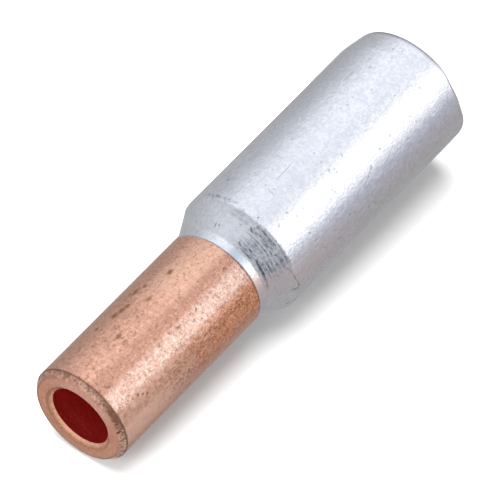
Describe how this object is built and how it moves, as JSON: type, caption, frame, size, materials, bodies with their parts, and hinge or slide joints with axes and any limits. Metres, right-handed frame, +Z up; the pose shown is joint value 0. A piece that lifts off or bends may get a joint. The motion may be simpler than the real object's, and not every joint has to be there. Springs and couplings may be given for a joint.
{
  "type": "bimetal splice sleeve",
  "caption": "Stepped bimetal splice sleeve: a narrower copper barrel welded through a short turned cone to a wider aluminium barrel, blind bored from each end for cable conductors.",
  "frame": {"origin": "centre of the open end face of the aluminium barrel, on which the sleeve stands", "axes": "+Z up along the sleeve's axis, from the aluminium end to the copper end; X and Y are free, because the sleeve is turned"},
  "size_m": [0.025, 0.025, 0.0938],
  "materials": {
    "aluminium": "drawn and turned, satin, lightly scratched",
    "copper": "drawn, satin, mottled with brown tarnish"
  },
  "bodies": {
    "root": {"aluminium_barrel": "aluminium", "copper_barrel": "copper"}
  },
  "joints": []
}
